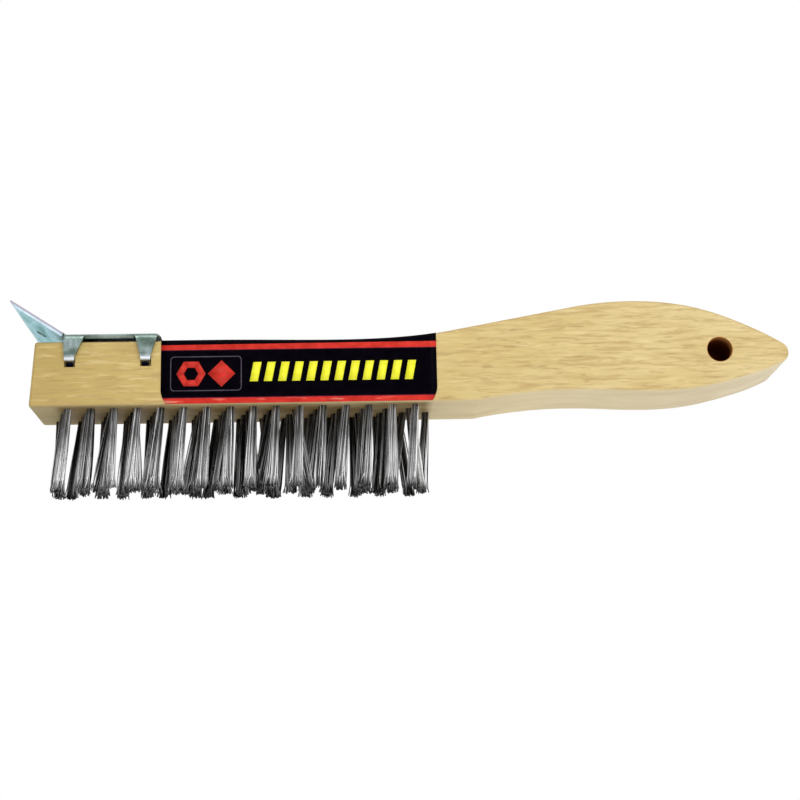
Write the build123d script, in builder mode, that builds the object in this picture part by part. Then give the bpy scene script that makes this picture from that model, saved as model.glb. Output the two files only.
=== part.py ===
"""Shoe-handle wire scratch brush with a stamped scraper on its nose.

Millimetres. The bristles point down and end at z = 0, the handle runs along +X, and the
origin is under the middle of the bounding box. Heights on the block are measured up from
its sole, and stations along it are measured back from its nose.
"""

import os
from math import cos, radians, sin, tan

from build123d import *

INCH = 25.4

# Driving sizes: the block, the bristle trim and the reach of the scraper past the nose
BLOCK_LENGTH = 10.25 * INCH
BLOCK_WIDTH = 1.125 * INCH
TRIM = 1.125 * INCH
BLADE_REACH = 6.4
HALF_WIDTH = BLOCK_WIDTH / 2
NOSE_X = BLADE_REACH - (BLOCK_LENGTH + BLADE_REACH) / 2

# Block side profile
NOSE_HEIGHT = 22.8
NOSE_TOE, NOSE_SETBACK = 0.9, 0.6
FLAT_LENGTH = 62.0
SHOULDER_X, SHOULDER_HEIGHT = 143.0, 25.1
RAMP_SLOPE = 0.186
RAMP_LENGTH = 43.0
RAMP_END_X = SHOULDER_X + RAMP_LENGTH
RAMP_END_HEIGHT = SHOULDER_HEIGHT + RAMP_LENGTH * RAMP_SLOPE
CREST_X, CREST_HEIGHT = 206.0, 1.375 * INCH
CROWN_UPPER = (231.0, 31.7)
CROWN_LOWER = (245.5, 26.1)
SOLE_LENGTH = 152.0
COVE_SLOPE = 0.2
COVE_POINT = (163.0, 1.8)
COVE_END = (185.0, 3.3)
HOLLOW_POINT = (207.0, 2.5)
BELLY_FRONT = (226.0, 3.1)
BELLY_REAR = (243.0, 6.7)
TIP_RADIUS = 3.9
TIP_HEIGHT = 15.8
CROWN_FALL_DEG = 32.0
BELLY_RISE_DEG = 28.0
TIP_CENTRE = (BLOCK_LENGTH - TIP_RADIUS, TIP_HEIGHT)

# Block edges and hang hole
EDGE_RADIUS = 0.8
NOSE_EDGE_RADIUS = 1.2
HANG_HOLE_DIAMETER = 11 / 32 * INCH
HANG_HOLE_X, HANG_HOLE_HEIGHT = 236.4, 17.0

# Tuft field: four rows of sixteen, each row shifted by quarters of the pitch
COLUMNS = 16
PITCH = 5 / 16 * INCH
ROW_SPACING = INCH / 4
FIRST_TUFT_X = 11.8
ROW_SHIFTS = (0.0, -0.25 * PITCH, 0.5 * PITCH, -0.75 * PITCH)
TUFT_HOLE_DIAMETER = 2.5
TUFT_HOLE_DEPTH = INCH / 2
TUFT_TIP_DIAMETER = 4.4

# Flat-wire anchor that pins each folded tuft near the bottom of its hole
ANCHOR_THICKNESS = 0.5
ANCHOR_LENGTH = 3.4
ANCHOR_HEIGHT = 1.8
ANCHOR_HEAD_COVER = 1.0
ANCHOR_TOP = TUFT_HOLE_DEPTH - ANCHOR_HEAD_COVER

# Scraper: one stamped sheet that bridges the block's top between two pressed lips
SHEET = 1.4
BRIDGE = 1.2
PLATE_FRONT_X, PLATE_REAR_X = 10.5, 43.6
PLATE_OVERHANG = 1.0
PLATE_UNDERSIDE = NOSE_HEIGHT + BRIDGE
PLATE_TOP = PLATE_UNDERSIDE + SHEET
LIP_LENGTH = 1.5
PLATE_HALF_WIDTH = HALF_WIDTH + PLATE_OVERHANG
PLATE_CORNER_RADIUS = 2.0
PLATE_REAR_RADIUS = 1.2
BLADE_ANGLE_DEG = 28.4
BLADE_WIDTH = 2.0 * INCH
BLADE_RUN = PLATE_FRONT_X + BLADE_REACH
BLADE_RISE = BLADE_RUN * tan(radians(BLADE_ANGLE_DEG))
CUTTING_EDGE = 0.5
BEVEL_RUN = 3.0
BEND_RADIUS = 2.4
BLADE_HOLE_DIAMETER = 5 / 32 * INCH
BLADE_HOLE_X = 0.8

# Claws: two a side, bent down over the block's faces with their points driven in
CLAW_FRONTS = (10.0, 35.1)
CLAW_ROOT_WIDTH = 7.6
CLAW_POINT_WIDTH = 3.5
CLAW_POINT_SHIFTS = (1.0, 1.8)
CLAW_BOTTOM = 15.7
CLAW_POINT_DEPTH = 2.5
CLAW_POINT_HEIGHT = 1.4
CLAW_SHOULDER_RADIUS = 1.0
POCKET_MARGIN = 0.15
POCKET_DROP = 2.0
POCKET_DEPTH = 3.0

# Printed label wrapped over both faces and the top
LABEL_THICKNESS = 0.15
LABEL_FRONT_X, LABEL_REAR_X = 43.9, 138.3
LABEL_BOTTOM = 0.25
LABEL_TUCK = 1.7
LABEL_TUCK_HEIGHT = 5.4
LABEL_HEIGHT = NOSE_HEIGHT + LABEL_THICKNESS
LABEL_SHOULDER_HEIGHT = SHOULDER_HEIGHT + LABEL_THICKNESS
LABEL_HEADROOM = 2 * CREST_HEIGHT

SIDE = Plane(origin=(NOSE_X, 0, TRIM), x_dir=(1, 0, 0), z_dir=(0, -1, 0))
SOLE = Plane(origin=(NOSE_X, 0, TRIM), x_dir=(1, 0, 0), z_dir=(0, 0, 1))


def tuft_points(column):
    """Stations of one column's four tufts on the sole, front row first."""
    first_row = -1.5 * ROW_SPACING
    return [
        (FIRST_TUFT_X + column * PITCH + shift, first_row + row * ROW_SPACING)
        for row, shift in enumerate(ROW_SHIFTS)
    ]


# Side profile of the block, in its own plane
with BuildSketch() as profile:
    with BuildLine():
        tip = CenterArc(
            TIP_CENTRE,
            TIP_RADIUS,
            BELLY_RISE_DEG - 90,
            180 - BELLY_RISE_DEG - CROWN_FALL_DEG,
        )
        Polyline(
            (SOLE_LENGTH, 0),
            (-NOSE_TOE, 0),
            (NOSE_SETBACK, NOSE_HEIGHT),
            (FLAT_LENGTH, NOSE_HEIGHT),
        )
        Spline(
            (FLAT_LENGTH, NOSE_HEIGHT),
            (SHOULDER_X, SHOULDER_HEIGHT),
            tangents=[(1, 0), (1, RAMP_SLOPE)],
        )
        Line((SHOULDER_X, SHOULDER_HEIGHT), (RAMP_END_X, RAMP_END_HEIGHT))
        Spline(
            (RAMP_END_X, RAMP_END_HEIGHT),
            (CREST_X, CREST_HEIGHT),
            tangents=[(1, RAMP_SLOPE), (1, 0)],
        )
        Spline(
            (CREST_X, CREST_HEIGHT),
            CROWN_UPPER,
            CROWN_LOWER,
            tip @ 1,
            tangents=[(1, 0), (1, -tan(radians(CROWN_FALL_DEG)))],
        )
        Spline(
            tip @ 0,
            BELLY_REAR,
            BELLY_FRONT,
            HOLLOW_POINT,
            COVE_END,
            tangents=[(-1, -tan(radians(BELLY_RISE_DEG))), (-1, 0)],
        )
        Spline(COVE_END, COVE_POINT, (SOLE_LENGTH, 0), tangents=[(-1, 0), (-1, -COVE_SLOPE)])
    make_face()

# Plain block, before anything is drilled into it
with BuildPart() as blank:
    with BuildSketch(SIDE):
        add(profile.sketch)
    extrude(amount=HALF_WIDTH, both=True)
    nose_face = blank.faces().sort_by(Axis.X)[0]
    fillet(nose_face.edges().filter_by(Axis.Y, reverse=True), NOSE_EDGE_RADIUS)
    cheek_edges = blank.faces().filter_by(Axis.Y).edges()
    long_edges = cheek_edges.filter_by(lambda edge: edge.center().X > NOSE_X + NOSE_EDGE_RADIUS)
    fillet(long_edges, EDGE_RADIUS)

# Wooden handle block: tuft holes, anchor seats, claw pockets and the hang hole
with BuildPart() as handle_block:
    add(blank.part)
    for column in range(COLUMNS):
        with BuildSketch(SOLE):
            with Locations(*tuft_points(column)):
                Circle(TUFT_HOLE_DIAMETER / 2)
        extrude(amount=TUFT_HOLE_DEPTH, mode=Mode.SUBTRACT)
        with BuildSketch(SOLE.offset(ANCHOR_TOP)):
            with Locations(*tuft_points(column)):
                Rectangle(ANCHOR_THICKNESS, ANCHOR_LENGTH)
        extrude(amount=-ANCHOR_HEIGHT, mode=Mode.SUBTRACT)
    for front, shift in zip(CLAW_FRONTS, CLAW_POINT_SHIFTS):
        pocket_centre = front + shift + CLAW_POINT_WIDTH / 2
        pocket_height = POCKET_DROP + CLAW_POINT_HEIGHT
        for side in (-1, 1):
            with BuildSketch(SIDE.offset(side * HALF_WIDTH)):
                with Locations((pocket_centre, CLAW_BOTTOM - POCKET_DROP + pocket_height / 2)):
                    Rectangle(CLAW_POINT_WIDTH + 2 * POCKET_MARGIN, pocket_height)
            extrude(amount=-side * POCKET_DEPTH, mode=Mode.SUBTRACT)
    with BuildSketch(SIDE):
        with Locations((HANG_HOLE_X, HANG_HOLE_HEIGHT)):
            Circle(HANG_HOLE_DIAMETER / 2)
    extrude(amount=BLOCK_WIDTH, both=True, mode=Mode.SUBTRACT)

# Printed label: a thin skin over the front face, the top and the back face
with BuildPart() as label:
    with BuildSketch(SIDE):
        with BuildLine():
            Polyline(
                (SHOULDER_X, LABEL_SHOULDER_HEIGHT),
                (SHOULDER_X, 0),
                (0, 0),
                (0, LABEL_HEIGHT),
                (FLAT_LENGTH, LABEL_HEIGHT),
            )
            Spline(
                (FLAT_LENGTH, LABEL_HEIGHT),
                (SHOULDER_X, LABEL_SHOULDER_HEIGHT),
                tangents=[(1, 0), (1, RAMP_SLOPE)],
            )
        make_face()
    extrude(amount=HALF_WIDTH + LABEL_THICKNESS, both=True)
    with BuildSketch(SIDE):
        with BuildLine():
            Polyline(
                (LABEL_REAR_X, LABEL_TUCK_HEIGHT),
                (LABEL_REAR_X, LABEL_HEADROOM),
                (LABEL_FRONT_X, LABEL_HEADROOM),
                (LABEL_FRONT_X, LABEL_TUCK_HEIGHT),
            )
            Spline(
                (LABEL_FRONT_X, LABEL_TUCK_HEIGHT),
                (LABEL_FRONT_X + LABEL_TUCK, LABEL_BOTTOM),
                tangents=[(0, -1), (1, -1)],
            )
            Line(
                (LABEL_FRONT_X + LABEL_TUCK, LABEL_BOTTOM),
                (LABEL_REAR_X - LABEL_TUCK, LABEL_BOTTOM),
            )
            Spline(
                (LABEL_REAR_X - LABEL_TUCK, LABEL_BOTTOM),
                (LABEL_REAR_X, LABEL_TUCK_HEIGHT),
                tangents=[(1, 1), (0, 1)],
            )
        make_face()
    extrude(amount=BLOCK_WIDTH, both=True, mode=Mode.INTERSECT)
    label_edges = label.faces().filter_by(Axis.Y).edges()
    over_edges = label_edges.filter_by(
        lambda edge: edge.center().Z > TRIM + HALF_WIDTH and edge.bounding_box().size.X > PITCH
    )
    fillet(over_edges, EDGE_RADIUS + LABEL_THICKNESS)
    add(blank.part, mode=Mode.SUBTRACT)

# Stamped scraper: plate on the block's top, flared blade past the nose, four claws
blade_slope = tan(radians(BLADE_ANGLE_DEG))
sheet_drop = SHEET / cos(radians(BLADE_ANGLE_DEG))
blade_top = PLATE_TOP + BLADE_RISE
bevel_foot = blade_top - BEVEL_RUN * blade_slope - sheet_drop
lip_front_x = PLATE_FRONT_X + (PLATE_TOP - sheet_drop - NOSE_HEIGHT) / blade_slope
hole_height = PLATE_TOP + (PLATE_FRONT_X - BLADE_HOLE_X) * blade_slope
blade_normal = (sin(radians(BLADE_ANGLE_DEG)), 0, cos(radians(BLADE_ANGLE_DEG)))
BLADE = Plane(
    origin=(NOSE_X + BLADE_HOLE_X, 0, TRIM + hole_height),
    x_dir=(0, 1, 0),
    z_dir=blade_normal,
)

with BuildPart() as scraper:
    with BuildSketch(SIDE) as section:
        with BuildLine():
            Polyline(
                (-BLADE_REACH, blade_top),
                (-BLADE_REACH, blade_top - CUTTING_EDGE),
                (-BLADE_REACH + BEVEL_RUN, bevel_foot),
                (lip_front_x, NOSE_HEIGHT),
                (lip_front_x + LIP_LENGTH, NOSE_HEIGHT),
                (lip_front_x + LIP_LENGTH + BRIDGE, PLATE_UNDERSIDE),
                (PLATE_REAR_X - LIP_LENGTH - BRIDGE, PLATE_UNDERSIDE),
                (PLATE_REAR_X - LIP_LENGTH, NOSE_HEIGHT),
                (PLATE_REAR_X, NOSE_HEIGHT),
                (PLATE_REAR_X, PLATE_TOP),
                (PLATE_FRONT_X, PLATE_TOP),
                close=True,
            )
        make_face()
        rear_corner = section.vertices().sort_by(Axis.X)[-2:].sort_by(Axis.Y)[-1]
        fillet(rear_corner, PLATE_REAR_RADIUS)
        bend_corner = section.vertices().filter_by_position(
            Axis.X, PLATE_FRONT_X - CUTTING_EDGE, PLATE_FRONT_X + CUTTING_EDGE
        )
        fillet(bend_corner, BEND_RADIUS)
    extrude(amount=BLADE_WIDTH / 2, both=True)
    with BuildSketch(SOLE) as plan:
        with BuildLine():
            Polyline(
                (-BLADE_REACH, -BLADE_WIDTH / 2),
                (PLATE_FRONT_X, -PLATE_HALF_WIDTH),
                (PLATE_REAR_X, -PLATE_HALF_WIDTH),
                (PLATE_REAR_X, PLATE_HALF_WIDTH),
                (PLATE_FRONT_X, PLATE_HALF_WIDTH),
                (-BLADE_REACH, BLADE_WIDTH / 2),
                close=True,
            )
        make_face()
        fillet(plan.vertices().sort_by(Axis.X)[-2:], PLATE_CORNER_RADIUS)
    extrude(amount=2 * CREST_HEIGHT, mode=Mode.INTERSECT)
    with BuildSketch(BLADE):
        Circle(BLADE_HOLE_DIAMETER / 2)
    extrude(amount=BLADE_RISE, both=True, mode=Mode.SUBTRACT)
    for front, shift in zip(CLAW_FRONTS, CLAW_POINT_SHIFTS):
        point_front = front + shift
        for side in (-1, 1):
            face_plane = SIDE.offset(side * HALF_WIDTH)
            with BuildSketch(face_plane):
                with BuildLine():
                    Polyline(
                        (front, PLATE_TOP - CLAW_SHOULDER_RADIUS),
                        (point_front, CLAW_BOTTOM),
                        (point_front + CLAW_POINT_WIDTH, CLAW_BOTTOM),
                        (front + CLAW_ROOT_WIDTH, PLATE_TOP - CLAW_SHOULDER_RADIUS),
                        close=True,
                    )
                make_face()
            extrude(amount=side * SHEET)
            with BuildSketch(face_plane):
                with Locations(
                    (point_front + CLAW_POINT_WIDTH / 2, CLAW_BOTTOM + CLAW_POINT_HEIGHT / 2)
                ):
                    Rectangle(CLAW_POINT_WIDTH, CLAW_POINT_HEIGHT)
            extrude(amount=-side * CLAW_POINT_DEPTH)

os.makedirs("parts", exist_ok=True)

handle_block.part.label = "handle_block"
export_step(handle_block.part, "parts/handle_block.step")
label.part.label = "label"
export_step(label.part, "parts/label.step")
scraper.part.label = "scraper"
export_step(scraper.part, "parts/scraper.step")

# Sixteen columns of four steel-wire tufts, and the anchors that hold them
for column in range(COLUMNS):
    points = tuft_points(column)
    with BuildPart() as anchors:
        with BuildSketch(SOLE.offset(ANCHOR_TOP)):
            with Locations(*points):
                Rectangle(ANCHOR_THICKNESS, ANCHOR_LENGTH)
        extrude(amount=-ANCHOR_HEIGHT)
    with BuildPart() as tufts:
        with BuildSketch(SOLE):
            with Locations(*points):
                Circle(TUFT_HOLE_DIAMETER / 2)
        extrude(amount=TUFT_HOLE_DEPTH)
        for x, y in points:
            with BuildSketch(SOLE):
                with Locations((x, y)):
                    Circle(TUFT_HOLE_DIAMETER / 2)
            with BuildSketch(SOLE.offset(-TRIM)):
                with Locations((x, y)):
                    Circle(TUFT_TIP_DIAMETER / 2)
            loft()
        add(anchors.part, mode=Mode.SUBTRACT)
    tufts.part.label = f"tuft_column_{column + 1:02d}"
    export_step(tufts.part, f"parts/{tufts.part.label}.step")
    anchors.part.label = f"anchor_column_{column + 1:02d}"
    export_step(anchors.part, f"parts/{anchors.part.label}.step")
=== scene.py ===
"""Looks for the wire scratch brush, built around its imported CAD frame.

Everything is in metres in the row frame: bristle tips on z = 0, handle along +X, and the
face that the camera sees towards -Y.
"""

import math
import random

import bmesh
import bpy
from mathutils import Matrix, Vector


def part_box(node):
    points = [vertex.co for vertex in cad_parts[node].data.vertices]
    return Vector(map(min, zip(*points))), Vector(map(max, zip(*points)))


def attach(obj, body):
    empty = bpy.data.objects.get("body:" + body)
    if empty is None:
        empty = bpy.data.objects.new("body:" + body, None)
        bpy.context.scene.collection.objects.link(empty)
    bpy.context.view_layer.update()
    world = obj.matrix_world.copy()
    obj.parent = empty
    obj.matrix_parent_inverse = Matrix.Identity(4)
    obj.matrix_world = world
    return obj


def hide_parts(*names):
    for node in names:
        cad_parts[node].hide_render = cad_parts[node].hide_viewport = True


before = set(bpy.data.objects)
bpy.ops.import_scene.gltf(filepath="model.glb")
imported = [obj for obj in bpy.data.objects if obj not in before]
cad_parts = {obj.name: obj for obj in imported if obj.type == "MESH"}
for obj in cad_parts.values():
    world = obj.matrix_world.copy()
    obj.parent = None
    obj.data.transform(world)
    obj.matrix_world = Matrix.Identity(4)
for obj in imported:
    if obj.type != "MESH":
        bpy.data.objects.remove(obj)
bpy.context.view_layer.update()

MM = 0.001
COLUMNS = 16
ROWS = 4
BODY = "root"
RANDOM_SEED = 21000
QUARTER_TURN = math.pi / 2

block_low, block_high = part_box("handle_block")
label_low, label_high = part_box("label")
scraper_low, scraper_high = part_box("scraper")
column_boxes = [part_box(f"tuft_column_{number + 1:02d}") for number in range(COLUMNS)]

BLADE_REACH = 6.4 * MM
NOSE_X = scraper_low.x + BLADE_REACH
SOLE_Z = block_low.z
HALF_WIDTH = block_high.y
NOSE_HEIGHT = 22.8 * MM
NOSE_TOP_Z = SOLE_Z + NOSE_HEIGHT


def srgb(red, green, blue):
    """A linear colour with alpha from 8-bit display values."""

    def linear(value):
        share = value / 255
        return share / 12.92 if share <= 0.04045 else ((share + 0.055) / 1.055) ** 2.4

    return (linear(red), linear(green), linear(blue), 1.0)


# ---- node helpers


def new_material(name):
    """A material with an empty tree but for its output and a Principled shader."""
    material = bpy.data.materials.new(name)
    material.use_nodes = True
    tree = material.node_tree
    tree.nodes.clear()
    output = tree.nodes.new("ShaderNodeOutputMaterial")
    shader = tree.nodes.new("ShaderNodeBsdfPrincipled")
    tree.links.new(shader.outputs["BSDF"], output.inputs["Surface"])
    return material, tree, shader


def stretched_coordinates(tree, scale, offset=(0, 0, 0)):
    """Object coordinates, which are row-frame metres, scaled per axis."""
    coordinates = tree.nodes.new("ShaderNodeTexCoord")
    mapping = tree.nodes.new("ShaderNodeMapping")
    mapping.inputs["Scale"].default_value = scale
    mapping.inputs["Location"].default_value = offset
    tree.links.new(coordinates.outputs["Object"], mapping.inputs["Vector"])
    return mapping.outputs["Vector"]


def noise(tree, vector, detail=3.0, distortion=0.0):
    """Noise value at the vector, whose own stretch sets the scale."""
    node = tree.nodes.new("ShaderNodeTexNoise")
    node.inputs["Scale"].default_value = 1.0
    node.inputs["Detail"].default_value = detail
    node.inputs["Distortion"].default_value = distortion
    tree.links.new(vector, node.inputs["Vector"])
    return node.outputs["Fac"]


def ramp(tree, value, stops):
    """Colour ramp over (position, colour) stops."""
    node = tree.nodes.new("ShaderNodeValToRGB")
    elements = node.color_ramp.elements
    while len(elements) < len(stops):
        elements.new(0.5)
    for element, (position, colour) in zip(elements, stops):
        element.position = position
        element.color = colour
    tree.links.new(value, node.inputs["Fac"])
    return node.outputs["Color"]


def remap(tree, value, from_low, from_high, to_low, to_high):
    """Linear remap with its result held between the two limits."""
    node = tree.nodes.new("ShaderNodeMapRange")
    for socket, number in (
        ("From Min", from_low),
        ("From Max", from_high),
        ("To Min", to_low),
        ("To Max", to_high),
    ):
        node.inputs[socket].default_value = number
    tree.links.new(value, node.inputs["Value"])
    return node.outputs["Result"]


def mix_colour(tree, factor, first, second):
    """Mix two colours. Each argument is a socket or a plain value."""
    node = tree.nodes.new("ShaderNodeMix")
    node.data_type = "RGBA"
    for socket, given in ((0, factor), (6, first), (7, second)):
        if isinstance(given, bpy.types.NodeSocket):
            tree.links.new(given, node.inputs[socket])
        else:
            node.inputs[socket].default_value = given
    return node.outputs[2]


def bump(tree, shader, height, strength, distance):
    """Bump from a height into the shader's normal."""
    node = tree.nodes.new("ShaderNodeBump")
    node.inputs["Strength"].default_value = strength
    node.inputs["Distance"].default_value = distance
    tree.links.new(height, node.inputs["Height"])
    tree.links.new(node.outputs["Normal"], shader.inputs["Normal"])


def coordinate_part(tree, kind, axis):
    """One axis of the shaded point's texture coordinates of a kind."""
    coordinates = tree.nodes.new("ShaderNodeTexCoord")
    separate = tree.nodes.new("ShaderNodeSeparateXYZ")
    tree.links.new(coordinates.outputs[kind], separate.inputs["Vector"])
    return separate.outputs[axis]


def position_axis(tree, axis):
    """One row-frame coordinate of the shaded point."""
    return coordinate_part(tree, "Object", axis)


def upward_tilt(tree):
    """Height part of the surface normal: one on top faces, minus one on undersides."""
    return coordinate_part(tree, "Normal", "Z")


def calculate(tree, operation, first, second=0.0):
    """Result of a math node. Each input is a socket or a plain value."""
    node = tree.nodes.new("ShaderNodeMath")
    node.operation = operation
    for socket, given in zip(node.inputs, (first, second)):
        if isinstance(given, bpy.types.NodeSocket):
            tree.links.new(given, socket)
        else:
            socket.default_value = given
    return node.outputs["Value"]


def coat(tree, shader, colour, pattern, rough_low, rough_high):
    """Give the shader its colour, and a roughness that follows a noise pattern."""
    tree.links.new(colour, shader.inputs["Base Color"])
    rough = remap(tree, pattern, 0.3, 0.7, rough_low, rough_high)
    tree.links.new(rough, shader.inputs["Roughness"])


def between(tree, value, low, high, soft):
    """One between two limits, falling to zero over a soft margin outside them."""
    rising = remap(tree, value, low - soft, low, 0.0, 1.0)
    falling = remap(tree, value, high, high + soft, 1.0, 0.0)
    return calculate(tree, "MULTIPLY", rising, falling)


# ---- materials

# Scraper sheet, whose sizes the cut edge's material also needs
SHEET = 1.4 * MM
BLADE_ANGLE = math.radians(28.4)
PLATE_FRONT = NOSE_X + 10.5 * MM
PLATE_REAR = scraper_high.x
PLATE_TOP = scraper_high.z - (PLATE_FRONT - scraper_low.x) * math.tan(BLADE_ANGLE)
PLATE_MIDDLE_Z = PLATE_TOP - SHEET / 2

# Places on the wood that get a colour of their own or painted shade (under the plate, in the claw
# pockets, deep in the hang hole and among the tufts), and how softly they end
SOFT_EDGE = 0.25 * MM
PLATE_SHADE_START = NOSE_X + 12.0 * MM
POCKET_STATIONS = (NOSE_X + 12.3 * MM, NOSE_X + 38.2 * MM)
POCKET_Z = SOLE_Z + 15.6 * MM
POCKET_HALF_LENGTH, POCKET_HALF_HEIGHT = 1.4 * MM, 1.8 * MM
HANG_HOLE_X = NOSE_X + 236.4 * MM
HANG_HOLE_Z = SOLE_Z + 17.0 * MM
HANG_HOLE_RADIUS = 4.366 * MM
MOUTH_DEPTH = 5.0 * MM
TUFT_SHADOW_INSET = 6.0 * MM

# Wood colours along the block, as shares of its length
FACE_COLOURS = (
    (0.0, srgb(172, 149, 86)),
    (0.2, srgb(193, 169, 106)),
    (0.45, srgb(198, 176, 117)),
    (1.0, srgb(210, 190, 139)),
)
# Underside colours, darker towards the nose where the tufts stand, as painted shade
SOLE_COLOURS = (
    (0.0, srgb(152, 136, 92)),
    (0.25, srgb(172, 156, 118)),
    (0.6, srgb(211, 193, 152)),
    (1.0, srgb(217, 203, 172)),
)

# Grain noises: scale per metre along each axis, offset, detail and distortion
GRAIN_NOISES = {
    "clouds": ((35, 110, 110), (0, 0, 0), 4.0, 0.0),
    "streaks": ((60, 900, 900), (0, 0, 0), 5.0, 0.0),
    "pale streaks": ((80, 700, 700), (3, 7, 1), 3.0, 0.0),
    "dashes": ((100, 950, 950), (5, 2, 9), 3.0, 0.5),
    "flecks": ((170, 1000, 1000), (1, 8, 4), 2.0, 0.35),
}

# Grain tints over the wood: noise, the values where it starts and is full, strength, colour
GRAIN_TINTS = (
    ("clouds", 0.40, 0.66, 0.45, srgb(192, 166, 104)),
    ("streaks", 0.48, 0.70, 0.5, srgb(184, 156, 96)),
    ("pale streaks", 0.53, 0.70, 0.4, srgb(226, 206, 154)),
    ("dashes", 0.50, 0.66, 0.6, srgb(172, 144, 92)),
    ("flecks", 0.58, 0.72, 0.45, srgb(156, 128, 78)),
)
GRAIN_BUMP_STRENGTH = 0.15
GRAIN_BUMP_DEPTH = 0.1 * MM

# Painted highlights on the claws and the wires, the cut edge's line, the wires' darker tips and
# wear on the print
CLAW_HIGHLIGHT_LENGTH = 1.1 * MM
EDGE_LINE = 0.32 * SHEET
DARK_TIP_LENGTH = 4.2 * MM
HIGHLIGHT_HEIGHT = SOLE_Z / 3
HIGHLIGHT_GAIN = 2.2
RUBBED_HEIGHT = 2.2 * MM


def hang_hole_wall(tree):
    """One on the bored wall of the hang hole and zero beyond its rim."""
    across = calculate(tree, "SUBTRACT", position_axis(tree, "X"), HANG_HOLE_X)
    above = calculate(tree, "SUBTRACT", position_axis(tree, "Z"), HANG_HOLE_Z)
    squares = calculate(
        tree, "ADD", calculate(tree, "POWER", across, 2.0), calculate(tree, "POWER", above, 2.0)
    )
    distance = calculate(tree, "POWER", squares, 0.5)
    rim_start = HANG_HOLE_RADIUS + 0.02 * MM
    return remap(tree, distance, rim_start, HANG_HOLE_RADIUS + SOFT_EDGE, 1.0, 0.0)


def oval(tree, along, height, centre_x, centre_z, half_length, half_height):
    """One inside an oval on the block's side faces, fading to zero round its rim."""
    across = calculate(tree, "SUBTRACT", along, centre_x)
    above = calculate(tree, "SUBTRACT", height, centre_z)
    across = calculate(tree, "POWER", calculate(tree, "DIVIDE", across, half_length), 2.0)
    above = calculate(tree, "POWER", calculate(tree, "DIVIDE", above, half_height), 2.0)
    return remap(tree, calculate(tree, "ADD", across, above), 0.75, 1.1, 1.0, 0.0)


def painted_scraper_shadow(tree):
    """One on the wood under the scraper's plate and inside the claw pockets, where painted shadow
    goes.
    """
    along = position_axis(tree, "X")
    height = position_axis(tree, "Z")
    out = calculate(tree, "ABSOLUTE", position_axis(tree, "Y"))
    under_length = between(tree, along, PLATE_SHADE_START, scraper_high.x, SOFT_EDGE)
    on_top = remap(tree, height, NOSE_TOP_Z - 2 * SOFT_EDGE, NOSE_TOP_Z, 0.0, 1.0)
    under_plate = calculate(tree, "MULTIPLY", under_length, on_top)
    inside = remap(tree, out, HALF_WIDTH - SOFT_EDGE, HALF_WIDTH, 1.0, 0.0)
    shade = under_plate
    for station in POCKET_STATIONS:
        pocket = oval(
            tree, along, height, station, POCKET_Z, POCKET_HALF_LENGTH, POCKET_HALF_HEIGHT
        )
        shade = calculate(tree, "MAXIMUM", shade, calculate(tree, "MULTIPLY", pocket, inside))
    return shade


def grain_noises(tree):
    """Every grain noise by its name."""
    return {
        name: noise(
            tree,
            stretched_coordinates(tree, scale, offset),
            detail=detail,
            distortion=distortion,
        )
        for name, (scale, offset, detail, distortion) in GRAIN_NOISES.items()
    }


def face_wood(tree, lengthwise, grain):
    """Colour of the side faces: yellower at the nose, with every grain tint over it."""
    colour = ramp(tree, lengthwise, FACE_COLOURS)
    for name, low, high, strength, tint in GRAIN_TINTS:
        shown = remap(tree, grain[name], low, high, 0.0, strength)
        colour = mix_colour(tree, shown, colour, tint)
    return colour


def tuft_field(tree):
    """One on the part of the sole that the tufts shelter, where painted shade goes, fading to
    zero round it.
    """
    field_start = column_boxes[0][0].x + TUFT_SHADOW_INSET
    field_end = column_boxes[-1][1].x - TUFT_SHADOW_INSET / 2
    field = between(tree, position_axis(tree, "X"), field_start, field_end, TUFT_SHADOW_INSET / 2)
    field_front = column_boxes[0][0].y
    sheltered = between(
        tree, position_axis(tree, "Y"), field_front, HALF_WIDTH, TUFT_SHADOW_INSET / 2
    )
    return calculate(tree, "MULTIPLY", field, sheltered)


def sole_wood(tree, lengthwise, grain):
    """Colour of the underside: cooler and cloudy, darker towards the nose and in patches between
    the tufts as painted shade.
    """
    colour = ramp(tree, lengthwise, SOLE_COLOURS)
    clouds = grain["clouds"]
    cloudy = remap(tree, clouds, 0.4, 0.66, 0.0, 0.3)
    colour = mix_colour(tree, cloudy, colour, srgb(160, 144, 108))
    # Painted shade in patches on the sole among the tufts
    patches = remap(tree, clouds, 0.35, 0.6, 0.55, 1.0)
    grime_and_shadow = calculate(tree, "MULTIPLY", tuft_field(tree), patches)
    return mix_colour(tree, grime_and_shadow, colour, srgb(112, 88, 46))


def bore_wood(tree):
    """Colour of the hang hole's wall: brown, darker deeper inside as painted shade, and paler at
    both mouths.
    """
    depth = calculate(tree, "ABSOLUTE", position_axis(tree, "Y"))
    mouth = remap(tree, depth, HALF_WIDTH - MOUTH_DEPTH, HALF_WIDTH, 0.0, 1.0)
    # Painted shade: the bore darkens away from its mouths
    return mix_colour(tree, mouth, srgb(84, 38, 16), srgb(176, 122, 66))


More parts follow.
